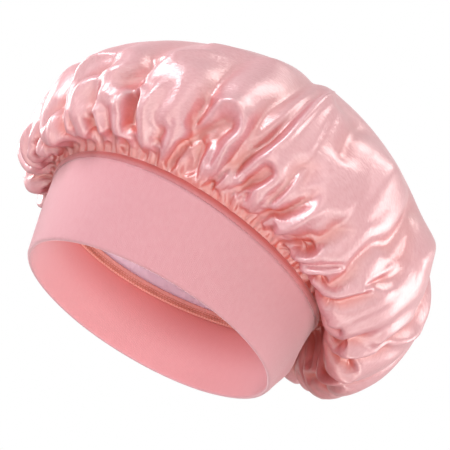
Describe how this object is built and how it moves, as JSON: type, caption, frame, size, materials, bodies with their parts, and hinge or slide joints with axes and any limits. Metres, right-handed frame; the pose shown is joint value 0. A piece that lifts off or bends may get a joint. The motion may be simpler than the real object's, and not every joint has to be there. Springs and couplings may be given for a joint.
{
  "type": "hair bonnet",
  "caption": "Sleep bonnet with a gathered satin crown, a smooth inner lining and a wide stretch band folded double around the head opening.",
  "frame": {"origin": "middle of the head opening, level with the folded rim that the bonnet rests on", "axes": "+Z from the head opening up to the crown, +Y from the forehead to the nape, +X to the wearer's left side"},
  "size_m": [0.2652, 0.2983, 0.191],
  "materials": {
    "satin": "polyester satin, glossy warp face",
    "lining": "smooth lining satin, lilac pink, soft sheen",
    "knit_band": "fine matte stretch knit",
    "thread": "raw edges bound with spun overlock thread",
    "elastic": "narrow woven elastic tape"
  },
  "bodies": {
    "root": {"satin_crown": "satin", "crown_lining": "lining", "stretch_band": "knit_band", "overlock_seam": "thread", "seam_elastic": "elastic"}
  },
  "joints": []
}
